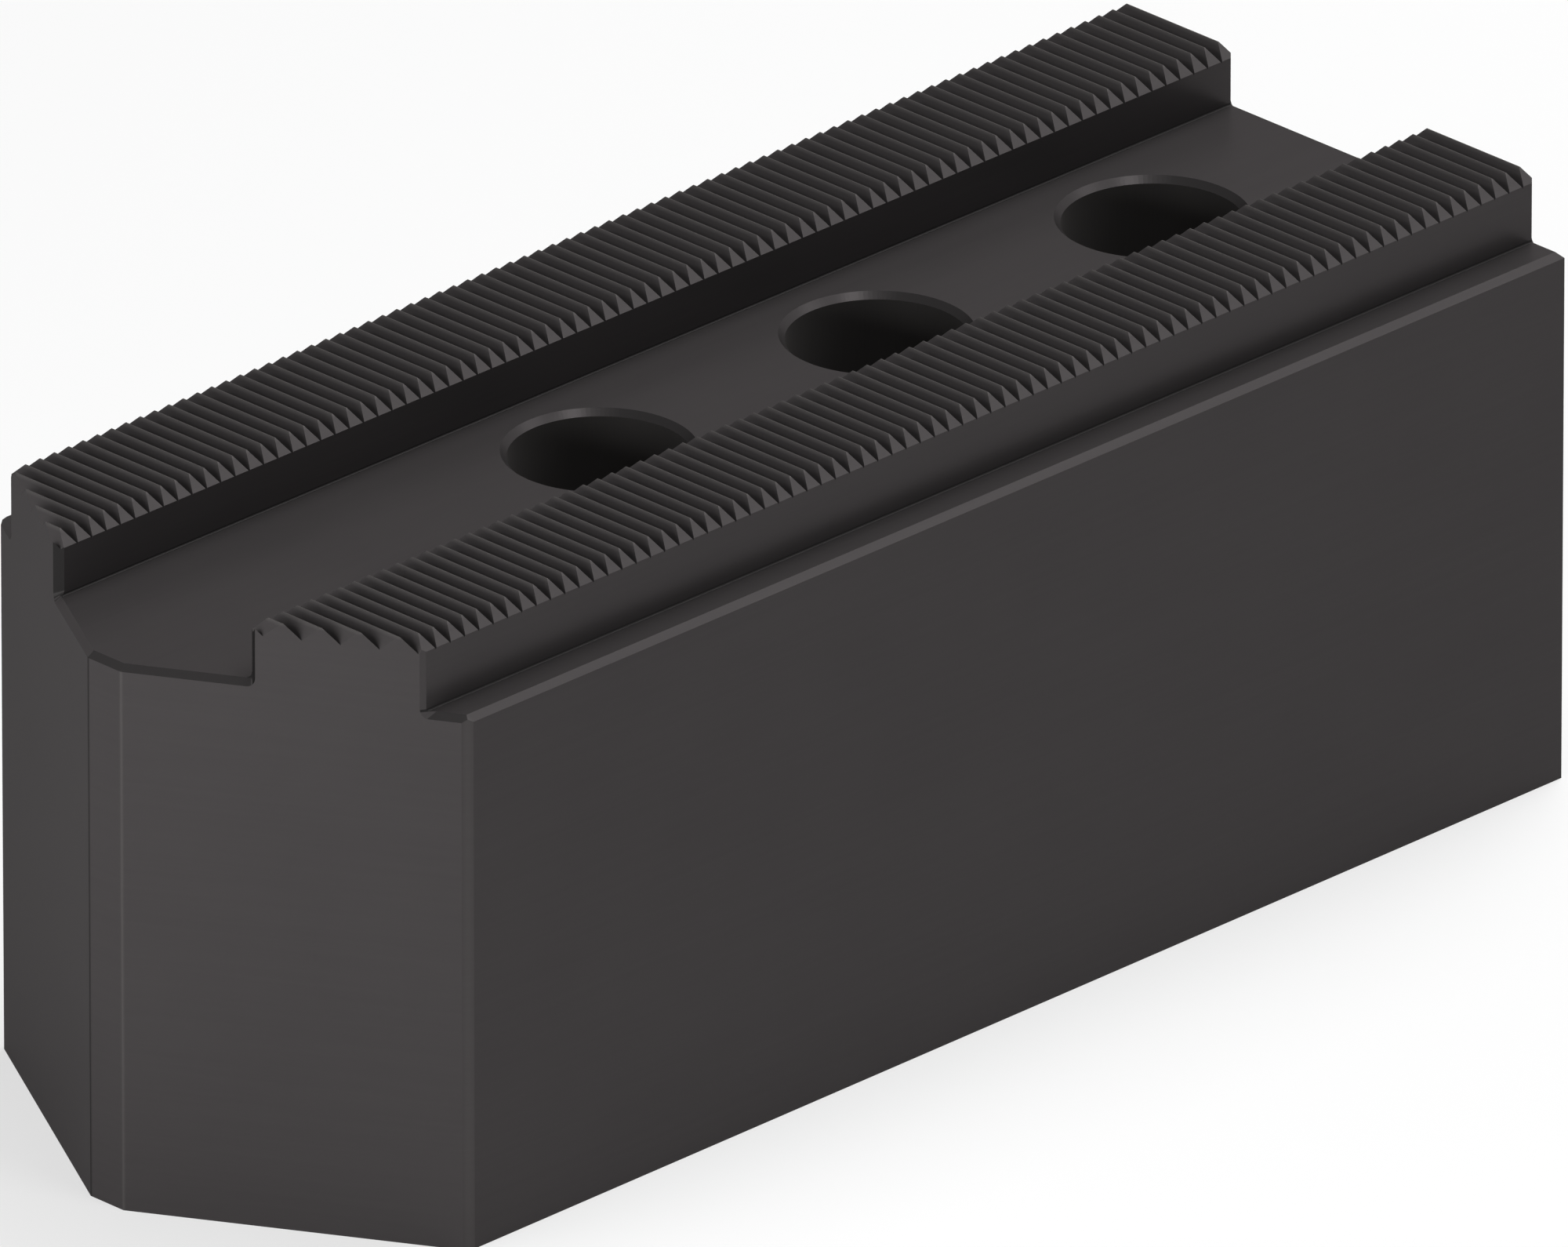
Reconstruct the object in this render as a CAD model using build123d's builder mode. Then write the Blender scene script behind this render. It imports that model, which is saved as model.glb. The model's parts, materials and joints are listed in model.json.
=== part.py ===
"""Machinable soft jaw for a power chuck, one solid block of steel.

The jaw lies on its plain face. The serrated side, which locks onto the chuck's
master jaw, faces up, and the pointed gripping end faces -X. The origin is the
middle of the plain face's bounding box, with +X along the jaw and +Z up.
All sizes are in millimetres.
"""
from build123d import *
from math import ceil, cos, radians, sin, sqrt, tan
import os

os.makedirs("parts", exist_ok=True)

# Block
length = 130.0
height = 50.0  # plain face to tooth crests
nose_flat = 3.5  # width of the flat at the tip of the point
nose_slope = 30.0  # degrees between each slanted face and the flat tip
corner_break = 0.54  # leg of the chamfer where a slanted face meets a side

# Steps across the serrated side: a key channel, a land and a shoulder each side of it
channel_width = 20.0
channel_depth = 5.0  # below the tooth crests
land_width = 12.0
shoulder_width = 3.0
shoulder_depth = 6.0  # below the tooth crests
root_radius = 0.2  # fillet at the foot of each land wall
edge_break = 0.5  # chamfer on the top edges of the block

# Serration across both lands
tooth_pitch = 1.5
tooth_angle = 60.0
crest_flat = 0.085
land_chamfer = 1.08  # 45 degrees, along each land

# Screw holes, with their heads sunk into the plain face
screw_count = 3
screw_pitch = 29.5
rear_to_screw = 19.0
bore_diameter = 14.0
head_diameter = 20.0
head_depth = 28.0
mouth_break = 0.5  # chamfer where each hole opens

# Places that follow from the sizes
tip_x = -length / 2
rear_x = length / 2
inner_wall_y = channel_width / 2
outer_wall_y = inner_wall_y + land_width
side_y = outer_wall_y + shoulder_width
floor_z = height - channel_depth
shoulder_z = height - shoulder_depth
slope = radians(nose_slope)
overrun = 1.0  # how far a cutting shape runs past the block


def slanted_face_x(y):
    """X of the slanted face at a distance y from the middle plane."""
    return tip_x + (y - nose_flat / 2) * tan(slope)


def slanted_plane(depth):
    """Plane behind the slanted face on the +Y side, at a depth into the block.

    Its x runs outwards along the face from the edge of the flat tip, and its y
    points up.
    """
    inward = Vector(cos(slope), -sin(slope), 0)
    along = Vector(sin(slope), cos(slope), 0)
    edge = Vector(tip_x, nose_flat / 2, 0)
    return Plane(edge + inward * depth, x_dir=along, z_dir=inward)


def chamfer_at(wall_y, facing, depth):
    """Distance along the slanted face to a wall's front chamfer, at a depth.

    facing is -1 for a wall of the channel and 1 for a wall over a shoulder. The
    chamfer joins the two lines where a ball of radius edge_break would touch the
    wall and the slanted face.
    """
    corner = (wall_y - nose_flat / 2) / cos(slope)
    half_angle = radians(90 + facing * nose_slope) / 2
    leg = edge_break / tan(half_angle)
    return corner - facing * (leg - depth * tan(half_angle))


# What the front chamfers take off each step, from the slanted face to its depth
with BuildPart() as front_break:
    for wall_y, facing, step_z in (
        (inner_wall_y, -1, floor_z),
        (outer_wall_y, 1, shoulder_z),
    ):
        open_side = Align.MIN if facing > 0 else Align.MAX
        for depth, foot_radius in (
            (0, root_radius + edge_break),
            (edge_break * (1 + sin(slope)), root_radius),
        ):
            foot = (chamfer_at(wall_y, facing, depth), step_z - edge_break + depth)
            with BuildSketch(slanted_plane(depth)) as opening:
                with Locations(foot):
                    Rectangle(side_y, 2 * shoulder_depth, align=(open_side, Align.MIN))
                fillet(opening.vertices().sort_by_distance((*foot, 0))[0], foot_radius)
        loft(ruled=True)
    mirror(about=Plane.XZ)

    # The same chamfer at the flat tip
    with BuildSketch(Plane.XZ):
        with BuildLine():
            Polyline(
                (tip_x - overrun, floor_z - edge_break - overrun),
                (tip_x + edge_break + overrun, floor_z + overrun),
                (tip_x - overrun, floor_z + overrun),
                close=True,
            )
        make_face()
    extrude(amount=nose_flat / 2 + overrun, both=True)

with BuildPart() as soft_jaw:
    # Block with its pointed end
    with BuildSketch():
        with BuildLine():
            Polyline(
                (tip_x, 0),
                (tip_x, nose_flat / 2),
                (slanted_face_x(side_y), side_y),
                (rear_x, side_y),
                (rear_x, 0),
            )
            mirror(about=Plane.XZ)
        make_face()
    extrude(amount=height)

    # Channel and shoulders, which leave the two lands standing
    with BuildSketch(Plane.YZ.offset(tip_x)) as section:
        with Locations((0, height)):
            Rectangle(channel_width, 2 * channel_depth)
        with Locations((-side_y, height), (side_y, height)):
            Rectangle(2 * shoulder_width, 2 * shoulder_depth)
        feet = section.vertices().filter_by(
            lambda corner: corner.Y < height and abs(corner.X) < side_y
        )
        fillet(feet, root_radius)
    extrude(amount=length, mode=Mode.SUBTRACT)

    # Chamfers on the rear edges of the steps and the outer edges of the shoulders
    rear_edges = soft_jaw.edges().filter_by_position(Axis.X, rear_x, rear_x).filter_by(
        lambda edge: shoulder_z - overrun < edge.center().Z < height
    )
    shoulder_edges = soft_jaw.edges().filter_by(Axis.X).filter_by_position(
        Axis.Z, shoulder_z, shoulder_z
    ).sort_by(Axis.Y)
    chamfer(rear_edges + [shoulder_edges[0], shoulder_edges[-1]], edge_break)

    # Chamfers on the front edges, then on the two upright corners
    add(front_break.part, mode=Mode.SUBTRACT)
    corner_x = slanted_face_x(side_y)
    corners = soft_jaw.edges().filter_by(Axis.Z).filter_by_position(Axis.X, corner_x, corner_x)
    chamfer(corners, corner_break)

    # Chamfers along the lands
    land_edges = [
        (side * wall_y, height) for wall_y in (inner_wall_y, outer_wall_y) for side in (-1, 1)
    ]
    with BuildSketch(Plane.YZ.offset(tip_x)):
        with Locations(land_edges):
            Rectangle(land_chamfer * sqrt(2), land_chamfer * sqrt(2), rotation=45)
    extrude(amount=length, mode=Mode.SUBTRACT)

    # Screw holes, bored from the plain face
    screw_x = rear_x - rear_to_screw - screw_pitch * (screw_count - 1) / 2
    with Locations(Plane((screw_x, 0, 0), z_dir=(0, 0, -1))):
        with GridLocations(screw_pitch, 0, screw_count, 1):
            CounterBoreHole(bore_diameter / 2, head_diameter / 2, head_depth)
    rims = soft_jaw.edges().filter_by(GeomType.CIRCLE)
    mouths = rims.filter_by_position(Axis.Z, 0, 0) + rims.filter_by_position(
        Axis.Z, floor_z, floor_z
    )
    chamfer(mouths, mouth_break)

    # Serration, counted from the rear face, where a root lies
    flank_tan = tan(radians(tooth_angle / 2))
    tooth_depth = (tooth_pitch - crest_flat) / 2 / flank_tan
    above_crest = crest_flat / 2
    half_mouth = (tooth_depth + above_crest) * flank_tan
    land_tip_x = slanted_face_x(inner_wall_y)
    groove_count = ceil((rear_x - land_tip_x) / tooth_pitch) + 1
    roots = [(rear_x - tooth_pitch * index, height) for index in range(groove_count)]
    with BuildSketch(Plane.XZ):
        with Locations(roots):
            Polygon(
                (-half_mouth, above_crest),
                (0, -tooth_depth),
                (half_mouth, above_crest),
                align=None,
            )
    extrude(amount=side_y, both=True, mode=Mode.SUBTRACT)

soft_jaw.part.label = "soft_jaw"
export_step(soft_jaw.part, "parts/soft_jaw.step")
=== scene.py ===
"""The looks of a machinable soft jaw, in black oxide on a pale studio floor.

The jaw is machined by a node tree as the real one is from its bar: a block with a
pointed end loses a channel, two shoulders, the breaks on its edges, three
counterbored screw holes and a groove for each gap of the serration. The frame gives
the block's size and the holes' places. All sizes are in metres, +X runs from the
point to the rear, and +Z points up from the plain face to the serration.
"""

import json
import math

import bmesh
import bpy
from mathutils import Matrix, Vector


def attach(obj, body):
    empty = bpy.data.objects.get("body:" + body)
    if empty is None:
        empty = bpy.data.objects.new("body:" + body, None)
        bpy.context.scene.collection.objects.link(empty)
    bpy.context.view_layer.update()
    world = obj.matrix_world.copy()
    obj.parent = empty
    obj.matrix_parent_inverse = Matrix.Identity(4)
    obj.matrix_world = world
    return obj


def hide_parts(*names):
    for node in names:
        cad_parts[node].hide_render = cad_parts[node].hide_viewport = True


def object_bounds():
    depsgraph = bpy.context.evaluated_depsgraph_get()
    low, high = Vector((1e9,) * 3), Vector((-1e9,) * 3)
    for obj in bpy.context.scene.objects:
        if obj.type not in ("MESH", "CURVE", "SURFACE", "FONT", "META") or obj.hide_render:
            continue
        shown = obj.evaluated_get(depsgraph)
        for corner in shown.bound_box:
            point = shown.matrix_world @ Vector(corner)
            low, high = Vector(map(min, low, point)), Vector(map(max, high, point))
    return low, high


bl_info = {
    "name": "Machinable soft jaw",
    "version": (1, 0, 0),
    "blender": (4, 5, 0),
    "location": "View3D > Sidebar > Soft Jaw",
    "description": "Machines a serrated soft jaw, blackens it and lights it on a pale floor",
    "category": "Object",
}

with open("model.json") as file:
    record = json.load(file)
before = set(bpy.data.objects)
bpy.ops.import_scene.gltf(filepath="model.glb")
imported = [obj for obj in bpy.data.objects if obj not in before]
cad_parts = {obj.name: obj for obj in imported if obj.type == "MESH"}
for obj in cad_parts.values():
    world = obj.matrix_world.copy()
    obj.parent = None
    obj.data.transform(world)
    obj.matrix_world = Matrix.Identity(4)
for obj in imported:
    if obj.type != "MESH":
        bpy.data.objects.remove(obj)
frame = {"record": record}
CAD_LOW, CAD_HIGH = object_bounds()

MM = 0.001
JAW_NODE = "soft_jaw"
JAW_BODY = "root"

# The holes and the channel as the frame's mounts state them
MOUNTS = {mount["name"]: mount for mount in frame["record"]["mounts"]}
SCREW_BORES = [MOUNTS[f"screw_bore_{place}"] for place in ("front", "middle", "rear")]
SCREW_X = [bore["pos_m"][0] for bore in SCREW_BORES]
HEAD_RECESS = MOUNTS["head_recess_rear"]
CHANNEL_FLOOR = MOUNTS["key_channel"]["pos_m"][2]
MOUTH_BREAK = 0.5 * MM

OVERRUN = 1 * MM  # how far a cutting shape runs past the block
WELD = 0.001 * MM  # points closer than this become one
CUTTER_SHARE = 0.75  # width of an edge break's cutter over the channel's, past its middle
FOOT_STEPS = 8  # chords in the fillet at the foot of a wall
ROUND_STEPS = 128  # chords round a screw hole
CREASE = math.radians(25)  # faces that meet more sharply than this show an edge


class Signal:
    """A node's output in a Python expression: each operation adds a node to its tree."""

    def __init__(self, tree, socket):
        self.tree = tree
        self.socket = socket

    def out(self, name):
        """Another output of the same node."""
        return Signal(self.tree, self.socket.node.outputs[name])

    def __add__(self, other):
        return self.tree.math("ADD", self, other)

    def __radd__(self, other):
        return self.tree.math("ADD", other, self)

    def __sub__(self, other):
        return self.tree.math("SUBTRACT", self, other)

    def __rsub__(self, other):
        return self.tree.math("SUBTRACT", other, self)

    def __mul__(self, other):
        return self.tree.math("MULTIPLY", self, other)

    def __rmul__(self, other):
        return self.tree.math("MULTIPLY", other, self)

    def __truediv__(self, other):
        return self.tree.math("DIVIDE", self, other)

    def __rtruediv__(self, other):
        return self.tree.math("DIVIDE", other, self)

    def __neg__(self):
        return self.tree.math("MULTIPLY", self, -1.0)

    def __abs__(self):
        return self.tree.math("ABSOLUTE", self)

    def __gt__(self, other):
        return self.tree.math("GREATER_THAN", self, other)

    def __lt__(self, other):
        return self.tree.math("LESS_THAN", self, other)


class Tree:
    """A node tree while it is built."""

    def __init__(self, node_tree):
        self.nodes = node_tree.nodes
        self.links = node_tree.links

    def node(self, kind, settings=None, inputs=None):
        """Adds a node of this kind and returns its first output as a Signal.

        Settings are set first, and "items" is how many values an index switch takes.
        Inputs are keyed by a socket's name or number, and each is a constant, a
        Signal, a tuple of the two or a list of Signals.
        """
        node = self.nodes.new(kind)
        for name, value in (settings or {}).items():
            if name == "items":
                while len(node.index_switch_items) < value:
                    node.index_switch_items.new()
            else:
                setattr(node, name, value)
        for key, value in (inputs or {}).items():
            socket = node.inputs[key] if isinstance(key, int) else self.open_socket(node, key)
            self.feed(socket, value)
        shown = next((output for output in node.outputs if output.enabled), None)
        return Signal(self, shown) if shown else node

    @staticmethod
    def open_socket(node, name):
        """The input of this name that the node's settings leave in use."""
        return next(s for s in node.inputs if s.name == name and s.enabled)

    def feed(self, socket, value):
        """Gives an input its constant or its links."""
        if isinstance(value, tuple) and any(isinstance(part, Signal) for part in value):
            value = self.node("ShaderNodeCombineXYZ", inputs=dict(enumerate(value)))
        if isinstance(value, list):
            for signal in value:
                self.links.new(signal.socket, socket)
        elif isinstance(value, Signal):
            self.links.new(value.socket, socket)
        else:
            socket.default_value = value

    def math(self, operation, *operands):
        """An operation on numbers."""
        return self.node("ShaderNodeMath", {"operation": operation}, dict(enumerate(operands)))

    def vector(self, operation, *operands):
        """An operation on vectors."""
        maths = self.node("ShaderNodeVectorMath", {"operation": operation})
        for socket, value in zip(maths.socket.node.inputs, operands):
            self.feed(socket, value)
        return maths

    def parts(self, vector):
        """The X, Y and Z of a vector."""
        x = self.node("ShaderNodeSeparateXYZ", inputs={"Vector": vector})
        return x, x.out("Y"), x.out("Z")

    def between(self, value, low, high):
        """1 while a value lies between the two limits, else 0."""
        return self.math("COMPARE", value, (low + high) / 2, (high - low) / 2)


class JawSizes(bpy.types.PropertyGroup):
    """Sizes that the jaw is machined to."""

    length: bpy.props.FloatProperty(
        name="Length",
        description="From the flat tip to the rear face",
        default=CAD_HIGH.x - CAD_LOW.x,
        unit="LENGTH",
    )
    width: bpy.props.FloatProperty(
        name="Width",
        description="Across the two sides",
        default=CAD_HIGH.y - CAD_LOW.y,
        unit="LENGTH",
    )
    height: bpy.props.FloatProperty(
        name="Height",
        description="From the plain face to the tooth crests",
        default=CAD_HIGH.z - CAD_LOW.z,
        unit="LENGTH",
    )
    nose_flat: bpy.props.FloatProperty(
        name="Nose Flat",
        description="Width of the flat at the tip of the point",
        default=3.5 * MM,
        unit="LENGTH",
    )
    nose_slope: bpy.props.FloatProperty(
        name="Nose Slope",
        description="Angle between each slanted face and the flat tip",
        default=math.radians(30),
        subtype="ANGLE",
    )
    corner_break: bpy.props.FloatProperty(
        name="Corner Break",
        description="Leg of the chamfer where a slanted face meets a side",
        default=0.54 * MM,
        unit="LENGTH",
    )
    channel_width: bpy.props.FloatProperty(
        name="Channel Width",
        description="Width of the key channel between the lands",
        default=20 * MM,
        unit="LENGTH",
    )
    channel_depth: bpy.props.FloatProperty(
        name="Channel Depth",
        description="Depth of the key channel below the tooth crests",
        default=CAD_HIGH.z - CHANNEL_FLOOR,
        unit="LENGTH",
    )
    shoulder_width: bpy.props.FloatProperty(
        name="Shoulder Width",
        description="Width of the step outside each land",
        default=3 * MM,
        unit="LENGTH",
    )
    shoulder_depth: bpy.props.FloatProperty(
        name="Shoulder Depth",
        description="Depth of the shoulders below the tooth crests",
        default=6 * MM,
        unit="LENGTH",
    )
    root_radius: bpy.props.FloatProperty(
        name="Root Radius",
        description="Fillet at the foot of each land wall",
        default=0.2 * MM,
        unit="LENGTH",
    )
    edge_break: bpy.props.FloatProperty(
        name="Edge Break",
        description="Chamfer on the top edges of the block",
        default=0.5 * MM,
        unit="LENGTH",
    )
    tooth_pitch: bpy.props.FloatProperty(
        name="Tooth Pitch",
        description="Distance from one tooth of the serration to the next",
        default=1.5 * MM,
        unit="LENGTH",
    )
    tooth_angle: bpy.props.FloatProperty(
        name="Tooth Angle",
        description="Angle between the two flanks of a groove",
        default=math.radians(60),
        subtype="ANGLE",
    )
    crest_flat: bpy.props.FloatProperty(
        name="Crest Flat",
        description="Flat left on top of each tooth",
        default=0.085 * MM,
        unit="LENGTH",
    )
    land_chamfer: bpy.props.FloatProperty(
        name="Land Chamfer",
        description="Leg of the chamfers along each land",
        default=1.08 * MM,
        unit="LENGTH",
    )
    screw_count: bpy.props.IntProperty(
        name="Screw Count",
        description="How many screw holes the jaw has",
        default=len(SCREW_X),
    )
    screw_pitch: bpy.props.FloatProperty(
        name="Screw Pitch",
        description="Distance from one screw hole to the next",
        default=SCREW_X[-1] - SCREW_X[-2],
        unit="LENGTH",
    )
    rear_to_screw: bpy.props.FloatProperty(
        name="Rear to Screw",
        description="From the rear face to the axis of the last screw hole",
        default=CAD_HIGH.x - SCREW_X[-1],
        unit="LENGTH",
    )
    bore_diameter: bpy.props.FloatProperty(
        name="Bore Diameter",
        description="Hole for the shank of each screw",
        default=2 * SCREW_BORES[-1]["dims"]["r_mm"] * MM,
        unit="LENGTH",
    )
    head_diameter: bpy.props.FloatProperty(
        name="Head Diameter",
        description="Recess for the head of each screw",
        default=2 * HEAD_RECESS["dims"]["r_mm"] * MM,
        unit="LENGTH",
    )
    head_depth: bpy.props.FloatProperty(
        name="Head Depth",
        description="Depth of the recess for the head, from the plain face",
        default=HEAD_RECESS["dims"]["length_mm"] * MM + MOUTH_BREAK,
        unit="LENGTH",
    )
    mouth_break: bpy.props.FloatProperty(
        name="Mouth Break",
        description="Chamfer where each hole opens",
        default=MOUTH_BREAK,
        unit="LENGTH",
    )

    def screw_row(self):
        """The X of the first screw hole and of the last."""
        last = self.length / 2 - self.rear_to_screw
        return last - (self.screw_count - 1) * self.screw_pitch, last


class JawTree(Tree):
    """The node tree that machines the jaw."""

    def __init__(self, steel):
        self.group = bpy.data.node_groups.new("machine_jaw", "GeometryNodeTree")
        super().__init__(self.group)
        self.group.interface.new_socket(
            "Geometry", in_out="OUTPUT", socket_type="NodeSocketGeometry"
        )
        for label, default in self.named_sizes():
            kind = "Int" if isinstance(default, int) else "Float"
            socket = self.group.interface.new_socket(
                label, in_out="INPUT", socket_type=f"NodeSocket{kind}"
            )
            socket.default_value = default
        self.size = self.node("NodeGroupInput")
        self.machine(steel)

    @staticmethod
    def named_sizes():
        """The label and default of every size, in the order of the panel."""
        for made in JawSizes.__annotations__.values():
            yield made.keywords["name"], made.keywords["default"]

    def outline(self, corners):
        """A flat face in XY that looks along +Z, from its corners taken anticlockwise."""
        index = self.node("GeometryNodeInputIndex")
        place = self.node(
            "GeometryNodeIndexSwitch",
            {"data_type": "VECTOR", "items": len(corners)},
            {0: index} | dict(enumerate([(x, y, 0.0) for x, y in corners], 1)),
        )
        ring = self.node(
            "GeometryNodeMeshCircle", {"fill_type": "NGON"}, {"Vertices": len(corners)}
        )
        return self.node("GeometryNodeSetPosition", inputs={"Geometry": ring, "Position": place})

    def rounded_rectangle(self, width, height, radius):
        """A flat face in XY that looks along +Z, centred, with filleted corners."""
        rectangle = self.node(
            "GeometryNodeCurvePrimitiveQuadrilateral", inputs={"Width": width, "Height": height}
        )
        rounded = self.node(
            "GeometryNodeFilletCurve",
            {"mode": "POLY"},
            {"Curve": rectangle, "Count": FOOT_STEPS, "Radius": radius},
        )
        return self.node("GeometryNodeFillCurve", {"mode": "NGONS"}, {"Curve": rounded})

    def drawn(self, flat, distance):
        """A closed solid: a flat face drawn out along the way it looks."""
        walls = self.node(
            "GeometryNodeExtrudeMesh",
            inputs={"Mesh": flat, "Offset Scale": distance, "Individual": False},
        )
        return self.closed(flat, walls), walls.out("Top")

    def closed(self, flat, walls):
        """Walls drawn from a flat face, closed by that face at their foot."""
        foot = self.node("GeometryNodeFlipFaces", inputs={"Mesh": flat})
        both = self.node("GeometryNodeJoinGeometry", inputs={"Geometry": [walls, foot]})
        return self.node(
            "GeometryNodeMergeByDistance", inputs={"Geometry": both, "Distance": WELD}
        )

    def placed(self, solid, place=(0.0, 0.0, 0.0), turn=(0.0, 0.0, 0.0)):
        """A solid turned about the origin, then moved."""
        return self.node(
            "GeometryNodeTransform",
            inputs={"Geometry": solid, "Translation": place, "Rotation": turn},
        )

    def both_sides(self, solid):
        """A cutter and its mirror image across the jaw's middle plane."""
        mirrored = self.node(
            "GeometryNodeTransform", inputs={"Geometry": solid, "Scale": (1.0, -1.0, 1.0)}
        )
        return [solid, self.node("GeometryNodeFlipFaces", inputs={"Mesh": mirrored})]

    def repeated(self, solid, count, start, step):
        """Copies of a cutter along X, from a start in steps."""
        line = self.node(
            "GeometryNodeMeshLine",
            inputs={"Count": count, "Start Location": start, "Offset": step},
        )
        copies = self.node(
            "GeometryNodeInstanceOnPoints", inputs={"Points": line, "Instance": solid}
        )
        return self.node("GeometryNodeRealizeInstances", inputs={"Geometry": copies})

    def turned(self, rings):
        """A closed solid round Z, from the radius and height of its rings, lowest first."""
        steps = len(rings) - 1
        stack = self.node(
            "GeometryNodeMeshCylinder",
            inputs={
                "Vertices": ROUND_STEPS,
                "Side Segments": steps,
                "Radius": 1.0,
                "Depth": float(steps),
            },
        )
        x, y, z = self.parts(self.node("GeometryNodeInputPosition"))
        ring = self.math("ROUND", z + steps / 2)
        radius, level = [
            self.node(
                "GeometryNodeIndexSwitch",
                {"data_type": "FLOAT", "items": len(rings)},
                {0: ring} | dict(enumerate(values, 1)),
            )
            for values in zip(*rings)
        ]
        return self.node(
            "GeometryNodeSetPosition",
            inputs={"Geometry": stack, "Position": (x * radius, y * radius, level)},
        )

    def machine(self, steel):
        """Cuts the jaw from its block and sets its shading and material."""
        size = self.size.out
        tan_slope = self.math("TANGENT", size("Nose Slope"))
        block = self.block(tan_slope)
        cutters = self.steps() + self.edge_breaks() + self.chamfers()
        cutters += [self.screw_holes(), self.grooves(tan_slope)]
        jaw = self.node(
            "GeometryNodeMeshBoolean",
            {"operation": "DIFFERENCE", "solver": "MANIFOLD"},
            {"Mesh 1": block, "Mesh 2": cutters},
        )
        jaw = self.node(
            "GeometryNodeMergeByDistance", inputs={"Geometry": jaw, "Distance": WELD}
        )
        sharp = self.node("GeometryNodeInputMeshEdgeAngle") > CREASE
        jaw = self.node(
            "GeometryNodeSetShadeSmooth",
            {"domain": "EDGE"},
            {"Geometry": jaw, "Selection": sharp, "Shade Smooth": False},
        )
        jaw = self.node("GeometryNodeRealizeInstances", inputs={"Geometry": jaw})
        jaw = self.node(
            "GeometryNodeSetMaterial", inputs={"Geometry": jaw, "Material": steel}
        )
        self.node("NodeGroupOutput", inputs={"Geometry": jaw})

    def block(self, tan_slope):
        """The block with its pointed end, whose two upright corners are broken."""
        size = self.size.out
        tip, rear, side = size("Length") * -0.5, size("Length") * 0.5, size("Width") * 0.5
        nose = size("Nose Flat") * 0.5
        corner = tip + (side - nose) * tan_slope
        leg = size("Corner Break")
        on_slant = (
            corner - leg * self.math("SINE", size("Nose Slope")),
            side - leg * self.math("COSINE", size("Nose Slope")),
        )
        half = [(rear, side), (corner + leg, side), on_slant, (tip, nose)]
        plan = half + [(x, -y) for x, y in reversed(half)]
        return self.drawn(self.outline(plan), size("Height"))[0]

    def steps(self):
        """The channel and the two shoulders."""
        size = self.size.out
        channel = self.step(size("Channel Width"), size("Channel Depth"), 0.0)
        shoulder = self.step(
            size("Shoulder Width") * 2, size("Shoulder Depth"), size("Width") * 0.5
        )
        return [channel, *self.both_sides(shoulder)]

    def step(self, width, depth, middle):
        """A bar with rounded edges, which leaves a step with rounded feet along the jaw."""
        size = self.size.out
        face = self.rounded_rectangle(width, depth * 2, size("Root Radius"))
        bar, _ = self.drawn(face, size("Length") + 2 * OVERRUN)
        start = (size("Length") * -0.5 - OVERRUN, middle, size("Height"))
        return self.placed(bar, start, (math.pi / 2, 0.0, math.pi / 2))

    def edge_breaks(self):
        """What the chamfers take off the front and rear ends of each step."""
        size = self.size.out
        slope = size("Nose Slope")
        cosine = self.math("COSINE", slope)
        outer_wall = size("Width") * 0.5 - size("Shoulder Width")
        front = (size("Length") * -0.5, size("Nose Flat") * 0.5, 0.0)
        rear = (size("Length") * 0.5, 0.0, 0.0)
        cutters = []
        for wall, facing, depth in (
            (size("Channel Width") * 0.5, -1, size("Channel Depth")),
            (outer_wall, 1, size("Shoulder Depth")),
        ):
            level = size("Height") - depth
            along = (wall - front[1]) / cosine
            cutters += self.both_sides(
                self.edge_break(along, facing, level, slope, front, math.pi / 2 - slope)
            )
            cutters += self.both_sides(
                self.edge_break(-wall, -facing, level, 0.0, rear, -math.pi / 2)
            )
        return cutters + [self.tip_break()]

    def edge_break(self, corner, facing, level, slope, origin, turn):
        """The chamfer at the end of one wall and of the floor at its foot.

        The cutter is flared: at the end face its foot has the fillet's radius plus
        the break, and further in, the fillet's own radius. Its X runs along the end
        face, its Y up and its Z into the block. The slope is between the end face
        and one that runs straight across the jaw.
        """
        size = self.size.out
        leg, radius = size("Edge Break"), size("Root Radius")
        half_corner = self.math("MULTIPLY_ADD", slope, facing / 2, math.pi / 4)
        flare = self.math("TANGENT", half_corner)
        deep = leg * (1 + self.math("SINE", slope))
        wide = radius + leg * (1 + OVERRUN / deep)
        reach = size("Channel Width") * CUTTER_SHARE
        face = self.rounded_rectangle(reach, reach, wide)
        open_side = self.placed(face, (reach * 0.5 * facing, reach * 0.5, 0.0))
        walls = self.node(
            "GeometryNodeExtrudeMesh",
            inputs={"Mesh": open_side, "Offset Scale": deep + OVERRUN, "Individual": False},
        )
        x, y, z = self.parts(self.node("GeometryNodeInputPosition"))
        gap_x, gap_y = [
            self.math("MINIMUM", across, wide) * radius / wide
            + self.math("MAXIMUM", across - wide, 0.0)
            for across in (x * facing, y)
        ]
        narrowed = ((gap_x + z * flare) * facing, gap_y + z, z)
        walls = self.node(
            "GeometryNodeSetPosition",
            inputs={"Geometry": walls, "Selection": walls.out("Top"), "Position": narrowed},
        )
        foot = (corner - (leg / flare + OVERRUN * flare) * facing, level - leg - OVERRUN, -OVERRUN)
        cutter = self.placed(self.closed(open_side, walls), foot)
        return self.placed(cutter, origin, (math.pi / 2, 0.0, turn))

    def tip_break(self):
        """The same chamfer across the flat tip."""
        size = self.size.out
        leg = size("Edge Break") + OVERRUN
        wedge = self.outline([(-OVERRUN, -leg), (leg, OVERRUN), (-OVERRUN, OVERRUN)])
        across = size("Nose Flat") + 2 * OVERRUN
        wedge, _ = self.drawn(wedge, across)
        place = (size("Length") * -0.5, across * 0.5, size("Height") - size("Channel Depth"))
        return self.placed(wedge, place, (math.pi / 2, 0.0, 0.0))

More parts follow.
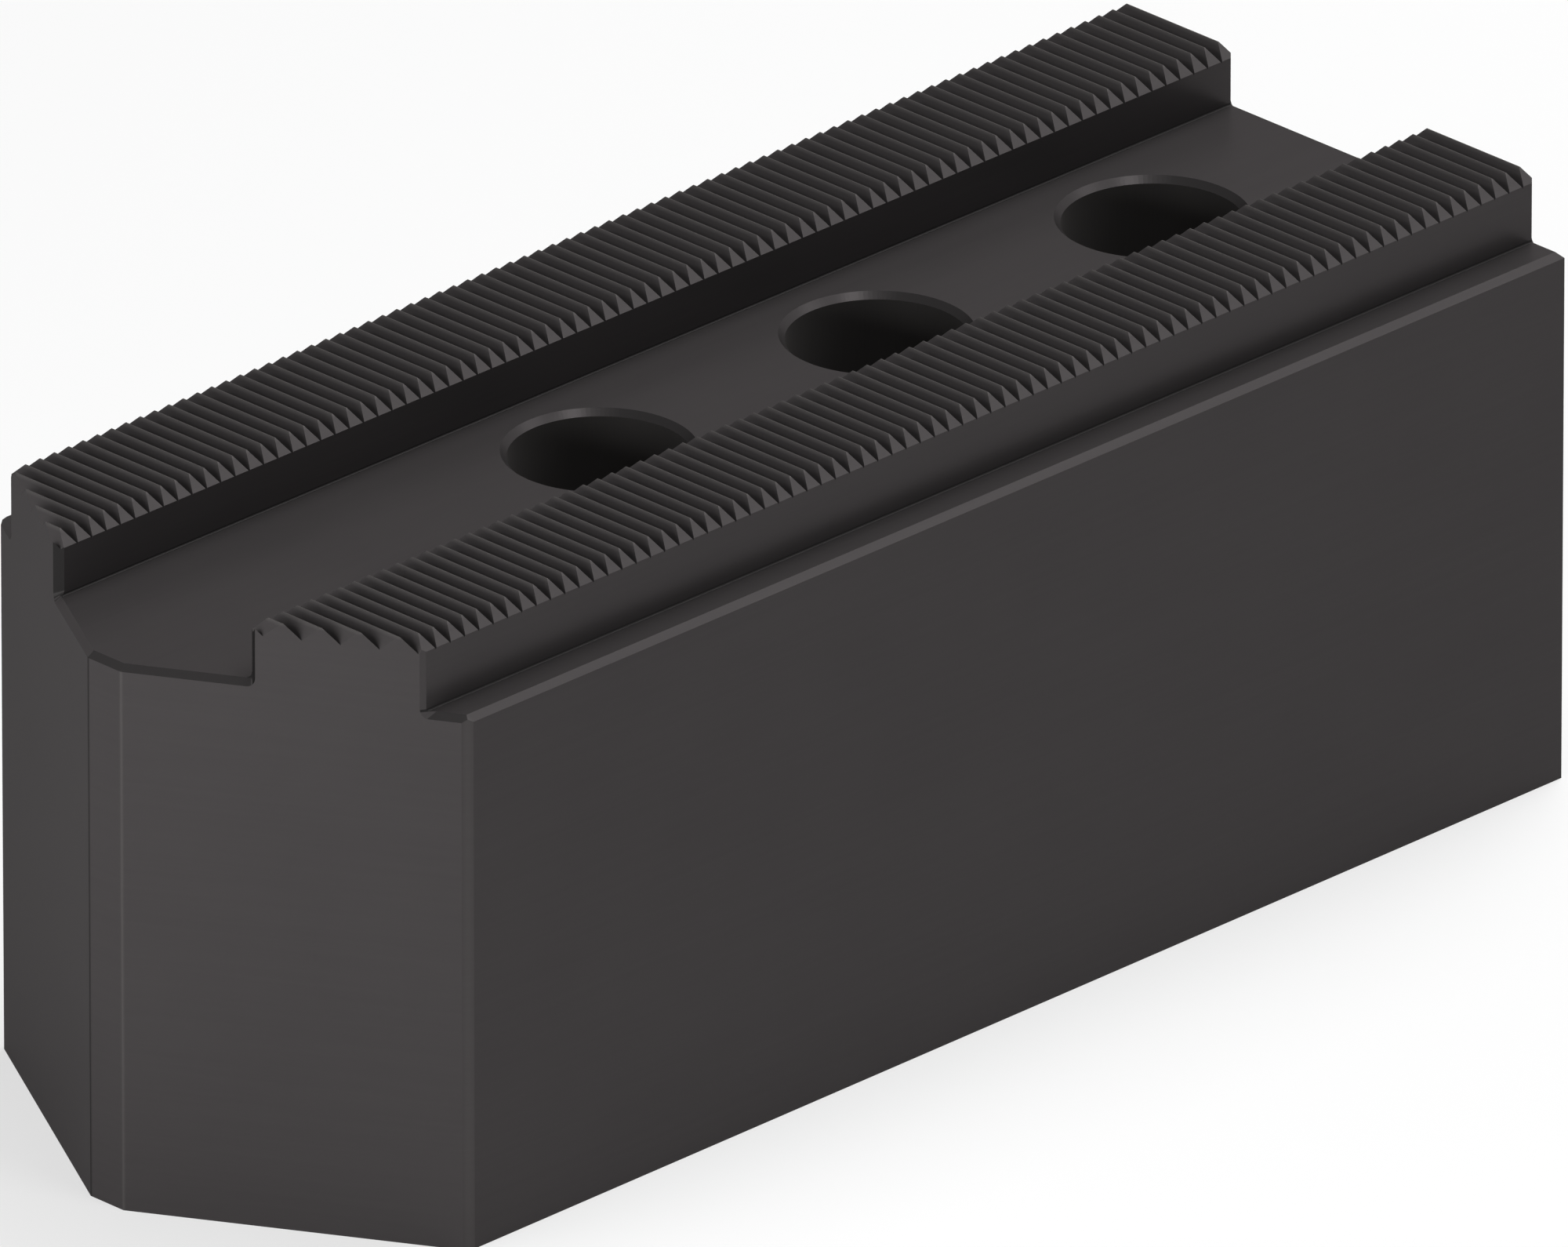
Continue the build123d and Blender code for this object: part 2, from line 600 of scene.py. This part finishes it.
    def chamfers(self):
        """Square bars on edge, for the chamfers along the lands and the shoulders.

        A bar is half as thick again as the chamfer is wide, so its middle lies outside
        the edge, by a quarter of the chamfer's leg sideways and upwards.
        """
        size = self.size.out
        side = size("Width") * 0.5
        shoulder = size("Height") - size("Shoulder Depth")
        cutters = []
        for y, z, outwards, leg in (
            (size("Channel Width") * 0.5, size("Height"), -1, size("Land Chamfer")),
            (side - size("Shoulder Width"), size("Height"), 1, size("Land Chamfer")),
            (side, shoulder, 1, size("Edge Break")),
        ):
            thick = leg * (1.5 * math.sqrt(2))
            bar = self.node(
                "GeometryNodeMeshCube",
                inputs={"Size": (size("Length") + 2 * OVERRUN, thick, thick)},
            )
            place = (0.0, y + leg * (outwards / 4), z + leg / 4)
            cutters += self.both_sides(self.placed(bar, place, (math.pi / 4, 0.0, 0.0)))
        return cutters

    def screw_holes(self):
        """The counterbored screw holes, chamfered where they open."""
        size = self.size.out
        bore, head = size("Bore Diameter") * 0.5, size("Head Diameter") * 0.5
        leg = size("Mouth Break")
        floor = size("Height") - size("Channel Depth")
        hole = self.turned(
            [
                (head + leg + OVERRUN, -OVERRUN),
                (head, leg),
                (head, size("Head Depth")),
                (bore, size("Head Depth")),
                (bore, floor - leg),
                (bore + leg + OVERRUN, floor + OVERRUN),
            ]
        )
        start = (size("Length") * 0.5 - size("Rear to Screw"), 0.0, 0.0)
        return self.repeated(
            hole, size("Screw Count"), start, (size("Screw Pitch") * -1.0, 0.0, 0.0)
        )

    def grooves(self, tan_slope):
        """The grooves of the serration, counted from the rear face, where a root lies."""
        size = self.size.out
        pitch, flat = size("Tooth Pitch"), size("Crest Flat")
        flank = self.math("TANGENT", size("Tooth Angle") * 0.5)
        depth = (pitch - flat) * 0.5 / flank
        above = flat * 0.5
        half_mouth = (depth + above) * flank
        groove = self.outline([(0.0, -depth), (half_mouth, above), (-half_mouth, above)])
        across = size("Width")
        groove, _ = self.drawn(groove, across)
        groove = self.placed(groove, (0.0, across * 0.5, 0.0), (math.pi / 2, 0.0, 0.0))
        to_land = (size("Channel Width") - size("Nose Flat")) * 0.5 * tan_slope
        count = self.math("CEIL", (size("Length") - to_land) / pitch) + 1
        start = (size("Length") * 0.5, 0.0, size("Height"))
        return self.repeated(groove, count, start, (pitch * -1.0, 0.0, 0.0))


MARK_ASPECT = 0.02  # width of a cutter's mark over its length
CLOUD_SCALE = 90.0  # soft clouds in the oxide, per metre
GRAIN_SCALE = 6000.0  # fine grains of the oxide, per metre
CORNER_REACH = 3  # how much further the near corner's wear and painted highlight reach than the tip's painted lines

# How much of the lighter colour shows at a place and in a pattern; at the near corner it is wear
# and a painted highlight, along the tip's near edge a painted highlight
CREST_WORN = 0.5
CORNER_WEAR_AND_HIGHLIGHT = 0.4
# the painted highlight along the tip's near edge
TIP_LINE_HIGHLIGHT = 0.5
MARKS_WORN = 0.1
CLOUDS_WORN = 0.1

BREAK_SHADE = 0.7  # how much painted shade shows on a level edge's break

# How much each pattern adds to the roughness
MARKS_ROUGH = 0.02
CLOUDS_ROUGH = 0.02
GRAIN_ROUGH = 0.01

# Limits on a face's unit normal, which tell the jaw's faces apart
LEVEL_TILT = 0.01  # a level face's normal leans less than this
UPRIGHT_RISE = 0.1  # an upright face's rises less than this
FOOT_RISE = (0.02, 0.98)  # the foot of a wall, from upright to level
BREAK_RISE = 0.6  # a level edge's break rises more than this
FAR_SIDE_LEAN = 0.1  # a face that looks to the far side leans that way more than this
LENGTHWISE_LEAN = (0.4, 0.6)  # painted shade on the breaks starts and is full at these leans along the jaw


class FinishSettings(bpy.types.PropertyGroup):
    """The black oxide, what machining and handling left on the steel, and painted light and shade.
    """

    oxide: bpy.props.FloatVectorProperty(
        name="Oxide",
        description="Colour of the black oxide",
        size=4,
        default=(0.051, 0.047, 0.048, 1.0),
        subtype="COLOR",
    )
    # Lighter colour: worn oxide on crests and in cutters' marks, wear and a painted highlight at
    # the near corner, a painted highlight along the tip's near edge, and painted light on the
    # holes' walls
    thin_oxide: bpy.props.FloatVectorProperty(
        name="Thin Oxide",
        description="Colour on crests, rubbed edges and cutters' marks, where the oxide is thin",
        size=4,
        default=(0.095, 0.09, 0.088, 1.0),
        subtype="COLOR",
    )
    # Painted shade: the darker colour put in the walls' feet, on the breaks and along the tip's
    # far edge, where shade falls
    thick_oxide: bpy.props.FloatVectorProperty(
        name="Thick Oxide",
        description="Colour in the walls' feet and on the breaks, where the oxide is thick",
        size=4,
        default=(0.022, 0.021, 0.021, 1.0),
        subtype="COLOR",
    )
    roughness: bpy.props.FloatProperty(
        name="Roughness",
        description="How matt the smoothest oxide is",
        default=0.28,
        subtype="FACTOR",
    )
    metal: bpy.props.FloatProperty(
        name="Metal",
        description="How much of the steel's gloss comes through the oxide",
        default=0.38,
        subtype="FACTOR",
    )
    edge_gloss: bpy.props.FloatProperty(
        name="Edge Gloss",
        description="How bright the gloss stays at a glancing angle",
        default=0.4,
        subtype="FACTOR",
    )
    crest_wear: bpy.props.FloatProperty(
        name="Crest Wear",
        description="How far the thin oxide reaches down from the tooth crests",
        default=0.25 * MM,
        unit="LENGTH",
    )
    # Also how far the painted highlight and painted shade lines reach from the tip's upright
    # edges, and the near corner's painted highlight
    edge_wear: bpy.props.FloatProperty(
        name="Edge Wear",
        description="How far the rubbed oxide reaches from an upright edge of the point",
        default=0.2 * MM,
        unit="LENGTH",
    )
    mark_width: bpy.props.FloatProperty(
        name="Mark Width",
        description="Width of the marks that the cutters left",
        default=0.35 * MM,
        unit="LENGTH",
    )
    mark_depth: bpy.props.FloatProperty(
        name="Mark Depth",
        description="Depth of the marks that the cutters left",
        default=0.0012 * MM,
        unit="LENGTH",
    )


def along_lay(tree):
    """Object coordinates turned to the lay of each face: along it, across it, and out.

    The cutters ran level along the upright faces and round the bores, across the
    jaw on the teeth, and lengthwise on level faces.
    """
    place = tree.node("ShaderNodeTexCoord").out("Object")
    normal = place.out("Normal")
    level = tree.vector("CROSS_PRODUCT", (0.0, 0.0, 1.0), normal)
    flat = tree.vector("LENGTH", level) < LEVEL_TILT
    lay = tree.vector("NORMALIZE", tree.vector("ADD", level, (flat, 0.0, 0.0)))
    across = tree.vector("CROSS_PRODUCT", normal, lay)
    return [tree.vector("DOT_PRODUCT", place, way) for way in (lay, across, normal)]


def upright_edge(tree, place, edge_x, edge_y, reach):
    """1 along an upright edge, falling to 0 at the reach from it."""
    x, y, _ = tree.parts(place)
    back, across = (x - edge_x) / reach, (y - edge_y) / reach
    away = tree.math("SQRT", back * back + across * across)
    return tree.math("MAXIMUM", 1.0 - away, 0.0)


def painted_light_in_holes(tree, place, sizes):
    """1 on the walls of the screw holes, else 0: the place of the painted light in them."""
    x, y, z = tree.parts(place)
    facing_z = tree.parts(place.out("Normal"))[2]
    first_x, last_x = sizes.screw_row()
    reach = sizes.head_diameter / 2 + 2 * sizes.mouth_break
    below_rim = z < sizes.height - sizes.channel_depth - sizes.mouth_break
    in_row = tree.between(x, first_x - reach, last_x + reach) * (abs(y) < reach)
    return in_row * below_rim * (abs(facing_z) < UPRIGHT_RISE)


def wear_and_painted_light(tree, place, finish, sizes):
    """Lighter colour: worn oxide on the crests, wear and a painted highlight at the near corner, a
    painted highlight along the tip's near edge, and painted light in the holes.
    """
    below_crest = (sizes.height - tree.parts(place)[2]) / finish.crest_wear
    crest = tree.math("MAXIMUM", 1.0 - below_crest, 0.0)
    tip_x, near_y, half_tip = sizes.length * -0.5, sizes.width * -0.5, sizes.nose_flat / 2
    corner_x = tip_x - (near_y + half_tip) * math.tan(sizes.nose_slope)
    # wear and a painted highlight, on the near corner only
    corner = upright_edge(tree, place, corner_x, near_y, CORNER_REACH * finish.edge_wear)
    # painted highlight: a light line along the near upright edge of the flat tip
    painted_tip_line = upright_edge(tree, place, tip_x, -half_tip, finish.edge_wear)
    # worn crests plus the painted highlights at the near corner and along the tip
    wear_and_highlights = crest * CREST_WORN + corner * CORNER_WEAR_AND_HIGHLIGHT + painted_tip_line * TIP_LINE_HIGHLIGHT
    return wear_and_highlights + painted_light_in_holes(tree, place, sizes)


def painted_shade_places(tree, place, finish, sizes):
    """Painted shade: darker colour in the walls' feet, on breaks and along the tip's far edge.

    A level edge's break looks up as well as along the jaw, and so do the holes' breaks
    fore and aft. In front it is lighter where it looks to the far side. An upright
    edge's break looks towards the jaw's middle.
    """
    x, y, z = tree.parts(place)
    facing_x, facing_y, facing_z = tree.parts(place.out("Normal"))
    floor_z = sizes.height - sizes.channel_depth
    # painted shade in the walls' feet, where the corners lie in shade
    at_foot = 0.0
    for step_z in (floor_z, sizes.height - sizes.shoulder_depth):
        at_foot = at_foot + tree.between(z, step_z, step_z + sizes.root_radius)
    foot = at_foot * tree.between(facing_z, *FOOT_RISE)
    start, full = LENGTHWISE_LEAN
    lengthwise = tree.node(
        "ShaderNodeMapRange", inputs={"Value": abs(facing_x), "From Min": start, "From Max": full}
    )
    in_front = x < sizes.screw_row()[0] - sizes.head_diameter
    far_front = in_front * (facing_y > FAR_SIDE_LEAN)
    # painted shade on the level and upright breaks, lighter in front where a break looks to the
    # far side
    level_break = (facing_z > BREAK_RISE) * (1.0 - far_front) * BREAK_SHADE
    inwards = y * facing_y < -MM  # off the middle plane, and looking towards it
    upright_break = in_front * inwards * (z > floor_z - sizes.mouth_break)
    breaks = lengthwise * tree.math("MAXIMUM", level_break, upright_break)
    tip_x, half_tip = sizes.length * -0.5, sizes.nose_flat / 2
    # painted shade: a dark line along the far upright edge of the flat tip
    painted_tip_line = upright_edge(tree, place, tip_x, half_tip, finish.edge_wear)
    return tree.math("MAXIMUM", painted_tip_line, tree.math("MAXIMUM", foot, breaks))


def black_oxide(finish, sizes):
    """Satin black oxide over machined steel, thinner on the crests and worn edges, with painted
    highlights, painted light in the holes and painted shade in the walls' feet and on the breaks.
    """
    material = bpy.data.materials.new("black_oxide")
    material.use_nodes = True
    material.node_tree.nodes.clear()
    tree = Tree(material.node_tree)
    lay, across, out = along_lay(tree)
    marks = tree.node(
        "ShaderNodeTexNoise",
        inputs={
            "Vector": (lay * MARK_ASPECT, across, out),
            "Scale": 1 / finish.mark_width,
            "Detail": 1.0,
        },
    )
    place = tree.node("ShaderNodeTexCoord").out("Object")
    clouds = tree.node(
        "ShaderNodeTexNoise", inputs={"Vector": place, "Scale": CLOUD_SCALE, "Detail": 4.0}
    )
    grain = tree.node("ShaderNodeTexNoise", inputs={"Vector": place, "Scale": GRAIN_SCALE})
    patterns = marks * MARKS_WORN + clouds * CLOUDS_WORN
    # the lighter colour: wear, cutters' marks and clouds, painted highlights, and painted light in
    # the holes
    worn_and_lit = wear_and_painted_light(tree, place, finish, sizes) + patterns
    colour = tree.node(
        "ShaderNodeMix",
        {"data_type": "RGBA"},
        {0: worn_and_lit, "A": tuple(finish.oxide), "B": tuple(finish.thin_oxide)},
    )
    # painted shade: the darker colour in the walls' feet, on the breaks and along the tip's far
    # edge
    thick = painted_shade_places(tree, place, finish, sizes)
    colour = tree.node(
        "ShaderNodeMix",
        {"data_type": "RGBA"},
        {0: thick, "A": colour, "B": tuple(finish.thick_oxide)},
    )
    uneven = marks * MARKS_ROUGH + clouds * CLOUDS_ROUGH + grain * GRAIN_ROUGH
    bump = tree.node(
        "ShaderNodeBump", inputs={"Strength": 1.0, "Distance": finish.mark_depth, "Height": marks}
    )
    shader = tree.node(
        "ShaderNodeBsdfPrincipled",
        inputs={
            "Base Color": colour,
            "Metallic": finish.metal,
            "Roughness": finish.roughness + uneven,
            "Specular IOR Level": 0.0,
            "Specular Tint": (*[finish.edge_gloss] * 3, 1.0),
            "Normal": bump,
        },
    )
    tree.node("ShaderNodeOutputMaterial", inputs={"Surface": shader})
    return material


class SOFTJAW_OT_machine_jaw(bpy.types.Operator):
    """Machine the serrated jaw to the sizes in the panel and blacken it"""

    bl_idname = "softjaw.machine_jaw"
    bl_label = "Machine Jaw"

    def execute(self, context):
        sizes = context.scene.soft_jaw_sizes
        tree = JawTree(black_oxide(context.scene.soft_jaw_finish, sizes))
        bar = bpy.data.objects.new("bar", bpy.data.meshes.new("bar"))
        context.scene.collection.objects.link(bar)
        cut = bar.modifiers.new("machine_jaw", "NODES")
        cut.node_group = tree.group
        inputs = [s for s in tree.group.interface.items_tree if s.in_out == "INPUT"]
        for key, socket in zip(JawSizes.__annotations__, inputs):
            cut[socket.identifier] = getattr(sizes, key)
        cut_bar = bar.evaluated_get(context.evaluated_depsgraph_get())
        jaw = bpy.data.objects.new("jaw", bpy.data.meshes.new_from_object(cut_bar))
        bpy.data.objects.remove(bar)
        if not jaw.data.polygons:
            raise RuntimeError("the jaw's tree gave no faces")
        context.scene.collection.objects.link(jaw)
        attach(jaw, JAW_BODY)
        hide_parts(JAW_NODE)
        return {"FINISHED"}


FLOOR_RADIUS = 12.0
FLOOR_GAP = 0.02 * MM  # below the plain face, so that the two don't flicker
FLOOR_PAINT = (0.9, 0.9, 0.9, 1.0)
WHITE = (1.0, 1.0, 1.0, 1.0)
LAMPS_AIM = Vector((0.0, 0.0, 20 * MM))
CAMERA_AIM = Vector((5.17 * MM, -1.38 * MM, 25 * MM))
# Name, azimuth and elevation in degrees, distance, width and height in metres, power in watts
SOFT_LAMPS = (
    ("overhead", 0, 90, 0.9, 0.4, 0.4, 1.5),
    ("rear_high", 90, 60, 0.9, 0.7, 0.7, 6.7),
    ("near_side_high", 0, 61, 0.9, 0.25, 0.25, 1.0),
    ("right_front", 57, 40, 0.9, 0.3, 0.3, 0.38),
    ("point_low", -90, 10, 0.25, 0.3, 0.1, 0.37),
    ("near_side_low", 0, 10, 0.25, 0.3, 0.1, 0.08),
)


def direction(azimuth, elevation):
    """The way out from the jaw; azimuth 0 is -Y, the near side, and 90 degrees is +X."""
    level = math.cos(elevation)
    return Vector(
        (math.sin(azimuth) * level, -math.cos(azimuth) * level, math.sin(elevation))
    )


def seen_rays(tree):
    """1 for what the camera sees, directly, in a reflection or through glass, else 0."""
    path = tree.node("ShaderNodeLightPath")
    seen = path.out("Is Camera Ray") + path.out("Is Glossy Ray") + path.out("Is Transmission Ray")
    return tree.math("MINIMUM", seen, 1.0)


class StudioSettings(bpy.types.PropertyGroup):
    """The camera and the light round the jaw."""

    lamp_level: bpy.props.FloatProperty(
        name="Lamp Level",
        description="Strength of all the soft lamps together",
        default=1.0,
    )
    room_level: bpy.props.FloatProperty(
        name="Room Level",
        description="Strength of the even light from all round",
        default=0.02,
    )
    floor_glow: bpy.props.FloatProperty(
        name="Floor Glow",
        description="Share of the floor's white that no shadow darkens",
        default=0.6,
        subtype="FACTOR",
    )
    azimuth: bpy.props.FloatProperty(
        name="Azimuth",
        description="Where the camera stands round the jaw; 0 faces the near side",
        default=math.radians(-44.965),
        subtype="ANGLE",
    )
    elevation: bpy.props.FloatProperty(
        name="Elevation",
        description="How far the camera looks down",
        default=math.radians(25.221),
        subtype="ANGLE",
    )
    distance: bpy.props.FloatProperty(
        name="Distance",
        description="From the camera to the point that it looks at",
        default=4.431,
        unit="LENGTH",
    )
    lens: bpy.props.FloatProperty(
        name="Lens",
        description="Focal length, which frames the jaw from that distance",
        default=1350.0,
        unit="CAMERA",
    )


class SOFTJAW_OT_set_stage(bpy.types.Operator):
    """Set up the pale floor, the soft lamps and the camera"""

    bl_idname = "softjaw.set_stage"
    bl_label = "Set Stage"

    def execute(self, context):
        studio = context.scene.soft_jaw_studio
        self.lay_floor(context, studio)
        self.light_room(context, studio)
        self.hang_lamps(context, studio)
        self.make_camera(context, studio)
        context.scene.view_settings.view_transform = "Standard"
        return {"FINISHED"}

    @staticmethod
    def lay_floor(context, studio):
        """A large disc just under the jaw, white to the eye and in reflections."""
        material = bpy.data.materials.new("pale_floor")
        material.use_nodes = True
        material.node_tree.nodes.clear()
        tree = Tree(material.node_tree)
        paint = tree.node("ShaderNodeBsdfDiffuse", inputs={"Color": FLOOR_PAINT})
        glow = tree.node("ShaderNodeEmission", inputs={"Strength": 1.0})
        mix = tree.node(
            "ShaderNodeMixShader",
            inputs={0: seen_rays(tree) * studio.floor_glow, 1: paint, 2: glow},
        )
        tree.node("ShaderNodeOutputMaterial", inputs={"Surface": mix})
        disc = bmesh.new()
        bmesh.ops.create_circle(disc, cap_ends=True, segments=64, radius=FLOOR_RADIUS)
        bmesh.ops.translate(disc, verts=disc.verts, vec=(0.0, 0.0, CAD_LOW.z - FLOOR_GAP))
        mesh = bpy.data.meshes.new("floor")
        disc.to_mesh(mesh)
        disc.free()
        mesh.materials.append(material)
        floor = bpy.data.objects.new("floor", mesh)
        context.scene.collection.objects.link(floor)

    @staticmethod
    def light_room(context, studio):
        """An even room, white to the eye and in reflections."""
        world = bpy.data.worlds.new("room")
        world.use_nodes = True
        world.node_tree.nodes.clear()
        tree = Tree(world.node_tree)
        level = studio.room_level
        strength = seen_rays(tree) * (1.0 - level) + level
        room = tree.node("ShaderNodeBackground", inputs={"Color": WHITE, "Strength": strength})
        tree.node("ShaderNodeOutputWorld", inputs={"Surface": room})
        context.scene.world = world

    @staticmethod
    def hang_lamps(context, studio):
        """Soft lamps that face the jaw, kept out of the camera's view."""
        for name, azimuth, elevation, distance, width, height, power in SOFT_LAMPS:
            data = bpy.data.lights.new(name, "AREA")
            data.shape = "ELLIPSE"
            data.size, data.size_y = width, height
            data.energy = power * studio.lamp_level
            lamp = bpy.data.objects.new(name, data)
            away = direction(math.radians(azimuth), math.radians(elevation))
            lamp.location = LAMPS_AIM + away * distance
            lamp.rotation_mode = "QUATERNION"
            lamp.rotation_quaternion = away.to_track_quat("Z", "Y")
            lamp.visible_camera = False
            context.scene.collection.objects.link(lamp)

    @staticmethod
    def make_camera(context, studio):
        """A camera far enough back to keep the jaw's edges parallel."""
        camera = bpy.data.objects.new("camera", bpy.data.cameras.new("camera"))
        camera.data.sensor_width = 36.0
        camera.data.lens = studio.lens
        camera.data.clip_start, camera.data.clip_end = 0.1, 2 * studio.distance
        back = direction(studio.azimuth, studio.elevation)
        camera.location = CAMERA_AIM + back * studio.distance
        camera.rotation_mode = "QUATERNION"
        camera.rotation_quaternion = (-back).to_track_quat("-Z", "Y")
        context.scene.collection.objects.link(camera)
        context.scene.camera = camera


class SOFTJAW_PT_panel(bpy.types.Panel):
    """The jaw's sizes, finish and studio, with the button that makes each"""

    bl_idname = "SOFTJAW_PT_panel"
    bl_label = "Soft Jaw"
    bl_space_type = "VIEW_3D"
    bl_region_type = "UI"
    bl_category = "Soft Jaw"

    def draw(self, context):
        for heading, name, operator in PANEL_ROWS:
            box = self.layout.box()
            box.label(text=heading)
            settings = getattr(context.scene, name)
            for key in settings.__annotations__:
                box.prop(settings, key)
            if operator:
                box.operator(operator.bl_idname)


# The panel's boxes: heading, settings and the operator that uses them
PANEL_ROWS = (
    ("Finish", "soft_jaw_finish", None),
    ("Sizes", "soft_jaw_sizes", SOFTJAW_OT_machine_jaw),
    ("Studio", "soft_jaw_studio", SOFTJAW_OT_set_stage),
)
SETTINGS = {
    "soft_jaw_finish": FinishSettings,
    "soft_jaw_sizes": JawSizes,
    "soft_jaw_studio": StudioSettings,
}
CLASSES = (*SETTINGS.values(), SOFTJAW_OT_machine_jaw, SOFTJAW_OT_set_stage, SOFTJAW_PT_panel)


def register():
    for made in CLASSES:
        bpy.utils.register_class(made)
    for name, settings in SETTINGS.items():
        setattr(bpy.types.Scene, name, bpy.props.PointerProperty(type=settings))


def unregister():
    for name in SETTINGS:
        delattr(bpy.types.Scene, name)
    for made in reversed(CLASSES):
        bpy.utils.unregister_class(made)


def main():
    register()
    bpy.ops.softjaw.machine_jaw()
    bpy.ops.softjaw.set_stage()


if __name__ == "__main__":
    main()
